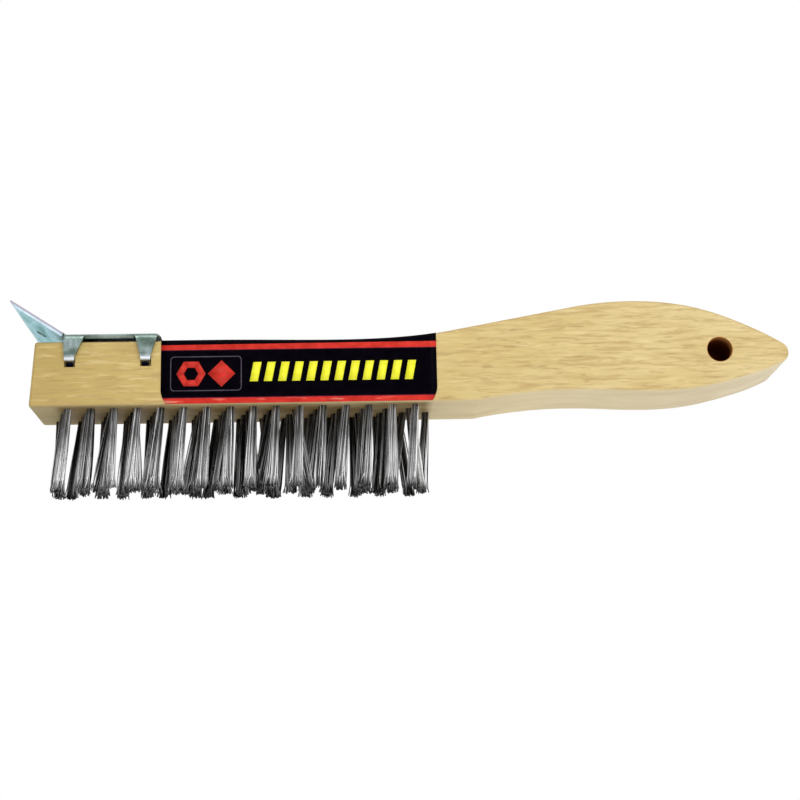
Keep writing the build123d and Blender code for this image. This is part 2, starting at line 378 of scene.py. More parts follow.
def wood_material():
    """Pale yellow hardwood with short dark flecks and fine streaks along the grain."""
    material, tree, shader = new_material("wood")
    lengthwise = remap(tree, position_axis(tree, "X"), block_low.x, block_high.x, 0.0, 1.0)
    grain = grain_noises(tree)
    tilt = upward_tilt(tree)
    facing_down = remap(tree, tilt, -0.9, -0.3, 0.9, 0.0)
    painted_top_shade = remap(tree, tilt, 0.1, 0.5, 0.0, 0.4)
    bored = hang_hole_wall(tree)
    painted_shadow = painted_scraper_shadow(tree)
    base = face_wood(tree, lengthwise, grain)
    base = mix_colour(tree, facing_down, base, sole_wood(tree, lengthwise, grain))
    # Painted shade: faces that look up are darkened against the light from above
    base = mix_colour(tree, painted_top_shade, base, srgb(160, 130, 80))
    base = mix_colour(tree, bored, base, bore_wood(tree))
    # Painted shadow: dark navy on the wood under the scraper's plate and in the claw pockets
    base = mix_colour(tree, painted_shadow, base, srgb(20, 24, 50))
    streaks = grain["streaks"]
    coat(tree, shader, base, streaks, 0.62, 0.50)
    dull = calculate(tree, "MAXIMUM", bored, painted_shadow)
    gloss = remap(tree, dull, 0.0, 1.0, 0.25, 0.0)
    tree.links.new(gloss, shader.inputs["Specular IOR Level"])
    bump(tree, shader, streaks, GRAIN_BUMP_STRENGTH, GRAIN_BUMP_DEPTH)
    return material


def zinc_material():
    """Zinc-plated sheet with a faint green-grey cast and soft cloudy spangle. The claws get a
    painted highlight where they bend into the wood."""
    material, tree, shader = new_material("zinc_sheet")
    clouds = noise(tree, stretched_coordinates(tree, (170, 170, 260)), detail=4.0)
    colour = ramp(
        tree,
        clouds,
        ((0.30, srgb(92, 110, 100)), (0.50, srgb(124, 142, 136)), (0.70, srgb(166, 182, 182))),
    )
    scratches = noise(tree, stretched_coordinates(tree, (2200, 300, 300)), detail=3.0)
    height = position_axis(tree, "Z")
    # Painted highlight: near-white on the claws' lower bend
    highlight_top = scraper_low.z + CLAW_HIGHLIGHT_LENGTH
    bright = between(tree, height, scraper_low.z, highlight_top, CLAW_HIGHLIGHT_LENGTH)
    colour = mix_colour(tree, bright, colour, srgb(214, 222, 228))
    coat(tree, shader, colour, scratches, 0.30, 0.48)
    shader.inputs["Metallic"].default_value = 1.0
    return material


def blade_material():
    """The blade's blue-green passivated face, with paler blue drifts."""
    material, tree, shader = new_material("blade_teal")
    clouds = noise(
        tree, stretched_coordinates(tree, (150, 60, 220), (1, 4, 2)), detail=4.0, distortion=0.6
    )
    colour = ramp(
        tree,
        clouds,
        (
            (0.32, srgb(62, 152, 148)),
            (0.48, srgb(92, 174, 178)),
            (0.60, srgb(124, 194, 208)),
            (0.74, srgb(206, 238, 246)),
        ),
    )
    coat(tree, shader, colour, clouds, 0.42, 0.26)
    shader.inputs["Metallic"].default_value = 1.0
    return material


def cut_edge_material():
    """Bare bright metal where the blade was sheared from its sheet, with a duller line along
    its upper edge."""
    material, tree, shader = new_material("cut_edge")
    clouds = noise(tree, stretched_coordinates(tree, (300, 300, 300)), detail=2.0)
    colour = ramp(tree, clouds, ((0.3, srgb(176, 200, 212)), (0.7, srgb(206, 224, 234))))
    along = calculate(tree, "MULTIPLY", position_axis(tree, "X"), math.sin(BLADE_ANGLE))
    above = calculate(tree, "MULTIPLY", position_axis(tree, "Z"), math.cos(BLADE_ANGLE))
    level = calculate(tree, "ADD", along, above)
    blade_top = PLATE_FRONT * math.sin(BLADE_ANGLE) + PLATE_TOP * math.cos(BLADE_ANGLE)
    line = remap(tree, level, blade_top - EDGE_LINE, blade_top - EDGE_LINE / 2, 0.0, 1.0)
    colour = mix_colour(tree, line, colour, srgb(164, 158, 174))
    coat(tree, shader, colour, clouds, 0.45, 0.6)
    shader.inputs["Metallic"].default_value = 0.15
    return material


def wire_material():
    """Drawn steel wire. Each wire's own shade is in the mesh's shade attribute, with painted
    shade on the rear rows; a painted highlight brightens the lower wires, and the cut tips
    are darker."""
    material, tree, shader = new_material("bristle_wire")
    shade = tree.nodes.new("ShaderNodeAttribute")
    shade.attribute_name = "shade"
    colour = ramp(
        tree,
        shade.outputs["Fac"],
        ((0.0, srgb(44, 43, 41)), (0.5, srgb(150, 150, 150)), (1.0, srgb(250, 250, 250))),
    )
    grime_and_shadow = noise(tree, stretched_coordinates(tree, (420, 420, 110)), detail=3.0)
    colour = mix_colour(
        tree, remap(tree, grime_and_shadow, 0.50, 0.72, 0.0, 0.6), colour, srgb(74, 71, 66)
    )
    height = position_axis(tree, "Z")
    # Painted highlight on the lower part of the wires, stronger on wires with a brighter shade
    painted_highlight = between(tree, height, DARK_TIP_LENGTH, HIGHLIGHT_HEIGHT, HIGHLIGHT_HEIGHT)
    painted_highlight = calculate(tree, "MULTIPLY", painted_highlight, HIGHLIGHT_GAIN)
    colour = mix_colour(
        tree,
        calculate(tree, "MULTIPLY", painted_highlight, shade.outputs["Fac"]),
        colour,
        srgb(252, 252, 252),
    )
    tips = remap(tree, height, 0.0, DARK_TIP_LENGTH, 1.0, 0.0)
    colour = mix_colour(tree, tips, colour, srgb(46, 45, 44))
    coat(tree, shader, colour, grime_and_shadow, 0.24, 0.44)
    shader.inputs["Metallic"].default_value = 1.0
    return material


def anchor_material():
    """Rolled flat wire of the anchors."""
    material, tree, shader = new_material("anchor_wire")
    rolled = noise(tree, stretched_coordinates(tree, (400, 2500, 400)), detail=2.0)
    colour = ramp(tree, rolled, ((0.3, srgb(150, 150, 152)), (0.7, srgb(190, 190, 192))))
    coat(tree, shader, colour, rolled, 0.3, 0.5)
    shader.inputs["Metallic"].default_value = 1.0
    return material


def print_material(name, low, high, specular, rubbed=False):
    """Glossy printing ink between two close colours, faintly uneven. A rubbed ink is scuffed
    pale in spots along the label's foot."""
    material, tree, shader = new_material(name)
    mottle = noise(tree, stretched_coordinates(tree, (260, 420, 420)), detail=4.0)
    colour = ramp(tree, mottle, ((0.35, low), (0.70, high)))
    if rubbed:
        scuffs = noise(tree, stretched_coordinates(tree, (110, 500, 700), (4, 1, 6)), detail=3.0)
        foot = remap(tree, position_axis(tree, "Z"), SOLE_Z, SOLE_Z + RUBBED_HEIGHT, 1.0, 0.0)
        worn = calculate(tree, "MULTIPLY", remap(tree, scuffs, 0.54, 0.64, 0.0, 0.9), foot)
        colour = mix_colour(tree, worn, colour, srgb(244, 176, 150))
    coat(tree, shader, colour, mottle, 0.30, 0.42)
    shader.inputs["Specular IOR Level"].default_value = specular
    return material


def stage_material():
    """Pale floor with a hardly visible mottle."""
    material, tree, shader = new_material("stage_floor")
    mottle = noise(tree, stretched_coordinates(tree, (3, 3, 3)), detail=2.0)
    colour = ramp(tree, mottle, ((0.3, srgb(236, 236, 236)), (0.7, srgb(244, 244, 244))))
    tree.links.new(colour, shader.inputs["Base Color"])
    shader.inputs["Roughness"].default_value = 0.9
    return material


# ---- mesh helpers


def mesh_object(name, vertices, faces, materials, face_materials=None, sharp_degrees=35.0):
    """A smooth-shaded mesh object whose edges over sharp_degrees stay crisp."""
    mesh = bpy.data.meshes.new(name)
    mesh.from_pydata([tuple(vertex) for vertex in vertices], [], faces)
    for material in materials:
        mesh.materials.append(material)
    if face_materials:
        mesh.polygons.foreach_set("material_index", face_materials)
    mesh.polygons.foreach_set("use_smooth", [True] * len(mesh.polygons))
    mesh.validate()
    mesh.update()
    mesh.set_sharp_from_angle(angle=math.radians(sharp_degrees))
    thing = bpy.data.objects.new(name, mesh)
    bpy.context.scene.collection.objects.link(thing)
    return thing


# ---- tufts

WIRES_PER_TUFT = 40
WIRE_RADIUS = 0.19 * MM
WIRE_SIDES = 6
WIRE_RINGS = 9
GOLDEN_ANGLE = math.pi * (3 - math.sqrt(5))
ROOT_SPREAD = 1.2 * MM
TIP_SPREAD = 2.0 * MM
SPREAD_RANGE = (0.82, 1.12)
ROOT_BURIED = 1.2 * MM
TIP_SCATTER = 0.22 * MM
TRIM_UNEVENNESS = 0.65 * MM
BOW = 0.18 * MM
HOOK = 0.5 * MM
HOOK_START = 0.86
WIRE_TURN_JITTER = 0.3
WIRE_SHARP_DEGREES = 70.0
NOSE_LEAN_DEGREES = 3.8
HEEL_LEAN_DEGREES = 3.0
FRONT_LEAN_JITTER = 0.9
REAR_LEAN_JITTER = 3.4
REAR_UPRIGHT = 1.5
SIDE_LEAN = 0.9 * MM
TWIST_DEGREES = 35.0
# Wire shade of each row, front first; the rear rows are darker as painted shade
ROW_SHADES = (0.46, 0.28, 0.18, 0.12)
NOSE_WEAR = 0.8 * MM
TUFT_SHADE_JITTER = 0.1
WIRE_SHADE_JITTER = 0.16
STRANDS = 5
STRAND_CONTRAST = 0.34
TUFT_TIP_RADIUS = 2.2 * MM
ROW_SHIFTS = (0.0, -0.25, 0.5, -0.75)


def tuft_centres(column):
    """The four tufts' axes on the sole, front row first, from the column's box."""
    low, high = column_boxes[column]
    pitch = column_boxes[1][0].x - column_boxes[0][0].x
    front_x = low.x + TUFT_TIP_RADIUS - min(ROW_SHIFTS) * pitch
    first_y = low.y + TUFT_TIP_RADIUS
    spacing = (high.y - low.y - 2 * TUFT_TIP_RADIUS) / (ROWS - 1)
    return [
        (front_x + shift * pitch, first_y + row * spacing)
        for row, shift in enumerate(ROW_SHIFTS)
    ]


def add_wire(vertices, faces, centres, radius):
    """One round wire along its centres, closed at the tip."""
    first = len(vertices)
    for centre in centres:
        for side in range(WIRE_SIDES):
            angle = 2 * math.pi * side / WIRE_SIDES
            vertices.append(
                centre + Vector((radius * math.cos(angle), radius * math.sin(angle), 0))
            )
    for ring in range(len(centres) - 1):
        for side in range(WIRE_SIDES):
            here = first + ring * WIRE_SIDES + side
            beside = first + ring * WIRE_SIDES + (side + 1) % WIRE_SIDES
            faces.append((here, here + WIRE_SIDES, beside + WIRE_SIDES, beside))
    last = first + (len(centres) - 1) * WIRE_SIDES
    faces.append(tuple(last + side for side in reversed(range(WIRE_SIDES))))


def wire_centres(root, tip, bow, hook):
    """Centres down one wire, which bows in the middle and hooks at its tip."""
    span = tip - root
    centres = []
    for ring in range(WIRE_RINGS):
        share = ring / (WIRE_RINGS - 1)
        past = max(0.0, share - HOOK_START) / (1 - HOOK_START)
        centre = root + span * share
        centres.append(centre + bow * math.sin(math.pi * share) + hook * past)
    return centres


def scatter(draw, size):
    """A random level shift of about a size."""
    return Vector((draw.gauss(0, 1), draw.gauss(0, 1), 0)) * size


def add_tuft(lists, draw, heelward, row, centre):
    """Draw one tuft's lean, twist and shade, then add its wires to the column's lists of
    vertices, faces and face shades."""
    vertices, faces, shades = lists
    centre_x, centre_y = centre
    column_lean = NOSE_LEAN_DEGREES + (HEEL_LEAN_DEGREES - NOSE_LEAN_DEGREES) * heelward
    lean_jitter = REAR_LEAN_JITTER if row else FRONT_LEAN_JITTER
    upright = REAR_UPRIGHT if row else 0.0
    lean = column_lean - upright + draw.gauss(0, 1) * lean_jitter
    lean_shift = SOLE_Z * math.tan(math.radians(-lean))
    side_shift = draw.uniform(-1, 1) * SIDE_LEAN
    twist = math.radians(draw.uniform(-1, 1) * TWIST_DEGREES)
    # The row's level darkens the rear rows as painted shade
    tuft_shade = ROW_SHADES[row] + draw.gauss(0, 1) * TUFT_SHADE_JITTER
    strand_turn = draw.uniform(0, 2 * math.pi)
    for wire in range(WIRES_PER_TUFT):
        reach = math.sqrt((wire + 0.5) / WIRES_PER_TUFT)
        angle = wire * GOLDEN_ANGLE + draw.uniform(-WIRE_TURN_JITTER, WIRE_TURN_JITTER)
        spread = reach * TIP_SPREAD * draw.uniform(*SPREAD_RANGE)
        root = Vector(
            (
                centre_x + reach * math.cos(angle) * ROOT_SPREAD,
                centre_y + reach * math.sin(angle) * ROOT_SPREAD,
                SOLE_Z + ROOT_BURIED,
            )
        )
        tip = Vector(
            (
                centre_x + lean_shift + math.cos(angle + twist) * spread,
                centre_y + side_shift + math.sin(angle + twist) * spread,
                abs(draw.gauss(0, 1)) * TRIM_UNEVENNESS + NOSE_WEAR * (1 - heelward),
            )
        )
        tip += scatter(draw, TIP_SCATTER)
        bow = scatter(draw, BOW)
        hook = scatter(draw, HOOK)
        before = len(faces)
        add_wire(vertices, faces, wire_centres(root, tip, bow, hook), WIRE_RADIUS)
        strand = math.sin(STRANDS * angle + strand_turn) * STRAND_CONTRAST
        shade = tuft_shade + strand + draw.gauss(0, 1) * WIRE_SHADE_JITTER
        shades.extend([min(1.0, max(0.0, shade))] * (len(faces) - before))


def build_column(column, material):
    """One column's four tufts as separate wires."""
    draw = random.Random(RANDOM_SEED + column)
    vertices, faces, shades = [], [], []
    heelward = column / (COLUMNS - 1)
    for row, centre in enumerate(tuft_centres(column)):
        add_tuft((vertices, faces, shades), draw, heelward, row, centre)
    name = f"tufts_{column + 1:02d}"
    thing = mesh_object(name, vertices, faces, [material], sharp_degrees=WIRE_SHARP_DEGREES)
    attribute = thing.data.attributes.new("shade", "FLOAT", "FACE")
    attribute.data.foreach_set("value", shades)
    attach(thing, BODY)
    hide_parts(f"tuft_column_{column + 1:02d}")


# ---- scraper

BEND_RADIUS = 2.4 * MM
FLANGE_RADIUS = 1.3 * MM
FLANGE_START = HALF_WIDTH + SHEET / 2 - FLANGE_RADIUS
EDGE_HALF = FLANGE_START + 1.2 * MM
BLADE_HALF = scraper_high.y
CUTTING_EDGE = 0.5 * MM
BEVEL = 3.0 * MM
REAR_CURL_RADIUS = 1.6 * MM
REAR_CURL = math.radians(55.0)
HOLE_RADIUS = 1.984 * MM
HOLE_X = NOSE_X + 0.8 * MM
CLAW_FRONTS = (10.3 * MM, 35.1 * MM)
CLAW_ROOT = 7.4 * MM
CLAW_POINT = 3.5 * MM
CLAW_POINT_SHIFTS = (0.7 * MM, 1.8 * MM)
CLAW_POINT_IN = 2.2 * MM
POINT_BEND_RADIUS = 0.8 * MM
BLADE_ROOT_GAP = 0.4 * MM
CLAW_DROP = PLATE_MIDDLE_Z - FLANGE_RADIUS - POINT_BEND_RADIUS - (scraper_low.z + SHEET / 2)
KNEE_ACROSS = FLANGE_START + FLANGE_RADIUS * QUARTER_TURN + CLAW_DROP
POINT_ACROSS = KNEE_ACROSS + POINT_BEND_RADIUS * QUARTER_TURN + CLAW_POINT_IN

# Rounding radii of the flat blank's corners
EDGE_CORNER = 0.3 * MM
BLADE_ROOT_CORNER = 0.5 * MM
FIRST_ROOT_FILLET = 0.2 * MM
ROOT_FILLET = 1.1 * MM
KNEE_CORNER = 1.0 * MM
POINT_CORNER = 0.4 * MM
POINT_INSET = 0.4 * MM
REAR_CORNER = 2.0 * MM
CORNER_STEPS = 5
LONGEST_CORNER_SHARE = 0.45

# How finely the blank is cut at its bends and round its hole
BEND_STEPS = 8
CURL_STEPS = 6
POINT_BEND_STEPS = 6
HOLE_SIDES = 40
CUT_TOLERANCE = 1e-7
MERGE_DISTANCE = 0.01 * MM

# Soft edges of the finished sheet, and its material slots
WORN_EDGE = 0.14 * MM
WORN_EDGE_SEGMENTS = 2
WORN_EDGE_DEGREES = 50.0
SHEET_SHARP_DEGREES = 30.0
ZINC_SLOT, TEAL_SLOT, CUT_SLOT = range(3)


class SheetPath:
    """The scraper's middle surface, rolled out flat: along from the cutting edge, across from
    the centreline."""

    def __init__(self):
        blade_tip_z = scraper_high.z - SHEET / 2 * math.cos(BLADE_ANGLE)
        self.tip = Vector((scraper_low.x + SHEET / 2 * math.sin(BLADE_ANGLE), 0, blade_tip_z))
        setback = BEND_RADIUS * math.tan(BLADE_ANGLE / 2)
        corner_x = self.tip.x + (blade_tip_z - PLATE_MIDDLE_Z) / math.tan(BLADE_ANGLE)
        self.bend_start = (blade_tip_z - PLATE_MIDDLE_Z) / math.sin(BLADE_ANGLE) - setback
        self.bend_length = BEND_RADIUS * BLADE_ANGLE
        self.plate_start_x = corner_x + setback
        self.curl_length = REAR_CURL_RADIUS * REAR_CURL
        curl_reach = REAR_CURL_RADIUS * math.sin(REAR_CURL) + SHEET / 2 * math.sin(REAR_CURL)
        self.curl_start_x = PLATE_REAR - curl_reach
        self.plate_start = self.bend_start + self.bend_length
        self.curl_start = self.plate_start + self.curl_start_x - self.plate_start_x
        self.total = self.curl_start + self.curl_length

    def along_of(self, x):
        """Flat coordinate of a plate station."""
        return self.plate_start + x - self.plate_start_x

    def lengthwise(self, along):
        """Point and slope angle of the middle line at a flat coordinate."""
        if along <= self.bend_start:
            x = self.tip.x + along * math.cos(BLADE_ANGLE)
            z = self.tip.z - along * math.sin(BLADE_ANGLE)
            return x, z, -BLADE_ANGLE
        if along <= self.plate_start:
            turned = (along - self.bend_start) / BEND_RADIUS
            angle = -BLADE_ANGLE + turned
            x = self.plate_start_x + BEND_RADIUS * math.sin(angle)
            z = PLATE_MIDDLE_Z + BEND_RADIUS * (1 - math.cos(angle))
            return x, z, angle
        if along <= self.curl_start:
            return self.plate_start_x + along - self.plate_start, PLATE_MIDDLE_Z, 0.0
        turned = (along - self.curl_start) / REAR_CURL_RADIUS
        x = self.curl_start_x + REAR_CURL_RADIUS * math.sin(turned)
        z = PLATE_MIDDLE_Z - REAR_CURL_RADIUS * (1 - math.cos(turned))
        return x, z, -turned

    def crosswise(self, across, share):
        """Sideways reach, drop and lean angle of a flat coordinate. The flange bend is only
        share of a full one beside the blade."""
        reach = abs(across)
        side = 1 if across >= 0 else -1
        if reach <= FLANGE_START or share <= 0:
            return across, 0.0, 0.0
        turned = (reach - FLANGE_START) / FLANGE_RADIUS
        if turned <= QUARTER_TURN:
            bent = FLANGE_START + FLANGE_RADIUS * math.sin(turned)
            drop = FLANGE_RADIUS * (1 - math.cos(turned))
            return side * (reach + (bent - reach) * share), drop * share, side * turned * share
        down = reach - FLANGE_START - FLANGE_RADIUS * QUARTER_TURN
        side_y = FLANGE_START + FLANGE_RADIUS
        if down <= CLAW_DROP:
            return side * side_y, FLANGE_RADIUS + down, side * QUARTER_TURN
        inward = (down - CLAW_DROP) / POINT_BEND_RADIUS
        if inward <= QUARTER_TURN:
            y = side_y - POINT_BEND_RADIUS * (1 - math.cos(inward))
            drop = FLANGE_RADIUS + CLAW_DROP + POINT_BEND_RADIUS * math.sin(inward)
            return side * y, drop, side * (QUARTER_TURN + inward)
        past = down - CLAW_DROP - POINT_BEND_RADIUS * QUARTER_TURN
        y = side_y - POINT_BEND_RADIUS - past
        drop = FLANGE_RADIUS + CLAW_DROP + POINT_BEND_RADIUS
        return side * y, drop, side * math.pi

    def surface(self, along, across, offset):
        """Point at a distance from the middle surface, positive on the outer side."""
        x, z, slope = self.lengthwise(along)
        share = min(1.0, max(0.0, (along - self.bend_start) / self.bend_length))
        y, drop, lean = self.crosswise(across, share)
        up = Vector((-math.sin(slope), 0, math.cos(slope)))
        normal = up * math.cos(lean) + Vector((0, math.sin(lean), 0))
        return Vector((x, y, z - drop)) + normal * offset


def rounded_corner(before, corner, after, radius):
    """Points that round a corner of a flat outline."""
    before, corner, after = Vector(before), Vector(corner), Vector(after)
    into = (before - corner).normalized()
    away = (after - corner).normalized()
    half = into.angle(away) / 2
    length = min(
        radius / math.tan(half),
        (before - corner).length * LONGEST_CORNER_SHARE,
        (after - corner).length * LONGEST_CORNER_SHARE,
    )
    start, end = corner + into * length, corner + away * length
    return [
        start * (1 - share) ** 2 + corner * 2 * share * (1 - share) + end * share ** 2
        for share in [step / CORNER_STEPS for step in range(CORNER_STEPS + 1)]
    ]


def claw_corners(left, shift, front_fillet):
    """One claw's corner points with their rounding radii, from its front root to its rear."""
    point_left = left + shift
    point_right = point_left + CLAW_POINT
    return [
        ((left, EDGE_HALF), front_fillet),
        ((point_left, KNEE_ACROSS), KNEE_CORNER),
        ((point_left + POINT_INSET, POINT_ACROSS), POINT_CORNER),
        ((point_right - POINT_INSET, POINT_ACROSS), POINT_CORNER),
        ((point_right, KNEE_ACROSS), KNEE_CORNER),
        ((left + CLAW_ROOT, EDGE_HALF), ROOT_FILLET),
    ]


def blank_outline(path):
    """Half of the flat blank's outline, from the cutting edge to the rear, as corner points
    with their rounding radii."""
    blade_root = path.along_of(NOSE_X + CLAW_FRONTS[0]) - BLADE_ROOT_GAP
    corners = [((0.0, BLADE_HALF), EDGE_CORNER), ((blade_root, EDGE_HALF), BLADE_ROOT_CORNER)]
    front_fillets = (FIRST_ROOT_FILLET, ROOT_FILLET)
    for front, shift, front_fillet in zip(CLAW_FRONTS, CLAW_POINT_SHIFTS, front_fillets):
        corners += claw_corners(path.along_of(NOSE_X + front), shift, front_fillet)
    corners.append(((path.total, EDGE_HALF), REAR_CORNER))
    return corners


def full_outline(path):
    """The blank's closed outline with rounded corners."""
    half = blank_outline(path)
    mirrored = [((along, -across), radius) for (along, across), radius in reversed(half)]
    corners = half + mirrored
    points = []
    for number, (corner, radius) in enumerate(corners):
        before = corners[number - 1][0]
        after = corners[(number + 1) % len(corners)][0]
        points.extend(rounded_corner(before, corner, after, radius))
    return points


def even_steps(start, length, steps):
    """Values at even steps over a length, with both ends."""
    return [start + length * step / steps for step in range(steps + 1)]


def bend_lines(path):
    """Flat lines to cut the blank along, so that its bends are round."""
    along_lines = [BEVEL]
    along_lines += even_steps(path.bend_start, path.bend_length, BEND_STEPS)
    along_lines += even_steps(path.curl_start, path.curl_length, CURL_STEPS)[:-1]
    across_lines = even_steps(FLANGE_START, FLANGE_RADIUS * QUARTER_TURN, BEND_STEPS)
    across_lines += even_steps(KNEE_ACROSS, POINT_BEND_RADIUS * QUARTER_TURN, POINT_BEND_STEPS)
    return along_lines, across_lines


def hole_outline(path):
    """The blade hole's edge on the flat blank."""
    hole_x = HOLE_X - SHEET / 2 * math.sin(BLADE_ANGLE)
    hole_along = (hole_x - path.tip.x) / math.cos(BLADE_ANGLE)
    return [
        Vector((hole_along + HOLE_RADIUS * math.cos(turn), HOLE_RADIUS * math.sin(turn)))
        for turn in [2 * math.pi * step / HOLE_SIDES for step in range(HOLE_SIDES)]
    ]


def flat_blank(path):
    """The blank as a filled flat mesh, with its hole, cut along every bend line."""
    blank = bmesh.new()
    for loop in (full_outline(path), hole_outline(path)):
        points = [blank.verts.new((point.x, point.y, 0)) for point in loop]
        for number, point in enumerate(points):
            blank.edges.new((points[number - 1], point))
    bmesh.ops.triangle_fill(blank, use_beauty=True, edges=blank.edges[:], normal=(0, 0, 1))
    along_lines, across_lines = bend_lines(path)
    cuts = [((value, 0, 0), (1, 0, 0)) for value in along_lines]
    cuts += [((0, value, 0), (0, 1, 0)) for value in across_lines]
    cuts += [((0, -value, 0), (0, 1, 0)) for value in across_lines]
    for point, normal in cuts:
        geometry = blank.verts[:] + blank.edges[:] + blank.faces[:]
        bmesh.ops.bisect_plane(
            blank, geom=geometry, plane_co=point, plane_no=normal, dist=CUT_TOLERANCE
        )
    bmesh.ops.remove_doubles(blank, verts=blank.verts[:], dist=MERGE_DISTANCE)
    bmesh.ops.dissolve_degenerate(blank, dist=MERGE_DISTANCE / 2, edges=blank.edges[:])
    blank.verts.index_update()
    return blank


def folded_vertices(path, blank):
    """The blank's points folded up on the outer skin, then on the inner one, which comes
    nearer to the outer at the cutting edge."""
    vertices = []
    for outer in (True, False):
        for vertex in blank.verts:
            along, across = vertex.co.x, vertex.co.y
            offset = SHEET / 2 if outer else -SHEET / 2
            if not outer and along < BEVEL:
                offset += (SHEET - CUTTING_EDGE) * (1 - along / BEVEL)
            vertices.append(path.surface(along, across, offset))
    return vertices


def skin_faces(path, blank):
    """Faces of both skins and their material slots. Only the blade's underside is teal."""
    faces, slots = [], []
    count = len(blank.verts)
    for face in blank.faces:
        ring = [vertex.index for vertex in face.verts]
        if face.normal.z < 0:
            ring.reverse()
        middle = sum(vertex.co.x for vertex in face.verts) / len(face.verts)
        on_blade = middle < path.bend_start + path.bend_length / 2
        faces += [tuple(ring), tuple(index + count for index in reversed(ring))]
        slots += [ZINC_SLOT, TEAL_SLOT if on_blade else ZINC_SLOT]
    return faces, slots


def rim_faces(path, blank):
    """Faces across the sheet's thickness and their material slots. The blade's outer edges
    are bare where they were sheared, and the hole's wall isn't."""
    faces, slots = [], []
    count = len(blank.verts)
    for edge in blank.edges:
        if len(edge.link_faces) != 1:
            continue
        face = edge.link_faces[0]
        corner = next(corner for corner in face.loops if corner.edge == edge)
        start, end = corner.vert.index, corner.link_loop_next.vert.index
        if face.normal.z < 0:
            start, end = end, start
        faces.append((end, start, start + count, end + count))
        middle = (edge.verts[0].co + edge.verts[1].co) / 2
        outer_edge = abs(middle.y) > 2 * HOLE_RADIUS or middle.x < BEVEL
        sheared = middle.x < path.bend_start and outer_edge
        slots.append(CUT_SLOT if sheared else ZINC_SLOT)
    return faces, slots


def build_scraper(zinc, teal, bright):
    """The stamped scraper, folded up from its flat blank and given its thickness."""
    path = SheetPath()
    blank = flat_blank(path)
    vertices = folded_vertices(path, blank)
    faces, slots = skin_faces(path, blank)
    more_faces, more_slots = rim_faces(path, blank)
    faces += more_faces
    slots += more_slots
    blank.free()
    materials = [zinc, teal, bright]
    thing = mesh_object(
        "scraper_sheet", vertices, faces, materials, slots, SHEET_SHARP_DEGREES
    )
    bevel = thing.modifiers.new("worn_edges", "BEVEL")
    bevel.width = WORN_EDGE
    bevel.segments = WORN_EDGE_SEGMENTS
    bevel.limit_method = "ANGLE"
    bevel.angle_limit = math.radians(WORN_EDGE_DEGREES)
    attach(thing, BODY)
    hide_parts("scraper")


# ---- label

LABEL_OUT = label_high.y
LABEL_THICKNESS = LABEL_OUT - HALF_WIDTH
BLOCK_EDGE_RADIUS = 0.8 * MM
LABEL_EDGE_RADIUS = BLOCK_EDGE_RADIUS + LABEL_THICKNESS
LABEL_BOTTOM = label_low.z - SOLE_Z
LABEL_BANDS = (
    ("red", 2.15 * MM),
    ("plum", 2.45 * MM),
    ("black", 18.95 * MM),
    ("plum", 19.2 * MM),
    ("red", 21.3 * MM),
)
BAND_DROOP = 0.35 * MM
LABEL_ROW = 0.6 * MM
LABEL_COLUMNS = 36
LABEL_BEND_STEPS = 6
LABEL_TUCK = 1.7 * MM
LABEL_TUCK_HEIGHT = 5.4 * MM
INK_LIFT = 0.01 * MM

FRAME_BOX = (47.1 * MM, 71.5 * MM, 4.6 * MM, 16.9 * MM)
FRAME_LINE = 0.35 * MM
FRAME_CORNER = 1.4 * MM
NUT_CENTRE = (54.2 * MM, 10.7 * MM)
NUT_RADIUS = 5.0 * MM
NUT_BORE = 2.5 * MM
NUT_SIDES = 6
DIAMOND_CENTRE = (64.6 * MM, 10.7 * MM)
DIAMOND_HALF = 4.7 * MM
BARS_START, BARS_END = 74.2 * MM, 132.0 * MM
BAR_COUNT = 12
BAR_FILL = 0.58
BAR_SLANT = 1.3 * MM
BAR_BOTTOM, BAR_TOP = 7.8 * MM, 14.6 * MM


def label_inks():
    """The label's printing inks by name."""
    return {
        "black": print_material("label_black", srgb(2, 1, 5), srgb(5, 3, 9), 0.02),
        "red": print_material("label_red", srgb(178, 38, 28), srgb(208, 50, 38), 0.15, True),
        "plum": print_material("label_plum", srgb(60, 8, 34), srgb(78, 12, 44), 0.15),
        "grey": print_material("label_grey", srgb(66, 58, 72), srgb(84, 74, 90), 0.1),
        "yellow": print_material("label_yellow", srgb(226, 224, 44), srgb(240, 238, 62), 0.15),
    }


def label_stations():
    """Rows around the label from the front face's foot, over the top, to the back face's
    foot: side, height or none, turn over the long edge, and the ink above the row."""
    rows = []
    foot = LABEL_BOTTOM
    for ink, top in LABEL_BANDS:
        steps = math.ceil((top - foot) / LABEL_ROW)
        rows += [(-1, foot + (top - foot) * step / steps, 0.0, ink) for step in range(steps)]
        foot = top
    rows.append((-1, foot, 0.0, "black"))
    for step in range(LABEL_BEND_STEPS + 1):
        rows.append((-1, None, QUARTER_TURN * step / LABEL_BEND_STEPS, "black"))
    mirrored = []
    for number in reversed(range(len(rows))):
        _, height, turn, _ = rows[number]
        ink_above = rows[number - 1][3] if number else "black"
        mirrored.append((1, height, turn, ink_above))
    return rows + mirrored


def label_ends(height):
    """Front and rear limits of the label at a height above the sole."""
    tuck = max(0.0, LABEL_TUCK_HEIGHT - height) / (LABEL_TUCK_HEIGHT - LABEL_BOTTOM)
    inset = LABEL_TUCK * tuck ** 2
    return label_low.x + inset, label_high.x - inset


def band_droop(height, share):
    """How far the upper red border sags at its top edge, which it does towards the nose."""
    border_foot, border_top = LABEL_BANDS[-2][1], LABEL_BANDS[-1][1]
    raised = max(0.0, height - border_foot) / (border_top - border_foot)
    return BAND_DROOP * raised * (1 - share)


